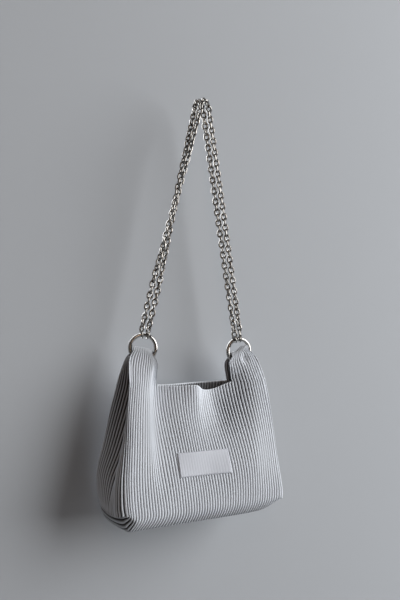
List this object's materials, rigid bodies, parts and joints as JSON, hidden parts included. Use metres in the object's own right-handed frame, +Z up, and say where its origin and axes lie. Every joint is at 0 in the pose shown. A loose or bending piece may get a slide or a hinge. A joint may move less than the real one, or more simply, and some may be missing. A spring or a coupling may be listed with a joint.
{
  "type": "knit handbag",
  "caption": "Soft rib-knit handbag with a wide boxed base, open mouth between upright ears, metal rings and a double shoulder chain, shown hanging.",
  "frame": {"origin": "the hanging point: the underside of the shoulder chain at its middle, where it lies over a hook, peg or finger", "axes": "+Z up along the hanging bag, +X across its width to the right as seen from the front, -Y out of the front face with the label patch"},
  "size_m": [0.197, 0.075, 0.4525],
  "materials": {
    "rib_knit": "matt rib knit",
    "label": "smooth woven",
    "polished_metal": "polished"
  },
  "bodies": {
    "root": {"bag_body": "rib_knit", "label_patch": "label", "ring_left": "polished_metal", "ring_right": "polished_metal", "end_link_left_a": "polished_metal", "end_link_left_b": "polished_metal", "end_link_right_a": "polished_metal", "end_link_right_b": "polished_metal", "chain_strand_a": "polished_metal", "chain_strand_b": "polished_metal"}
  },
  "joints": []
}
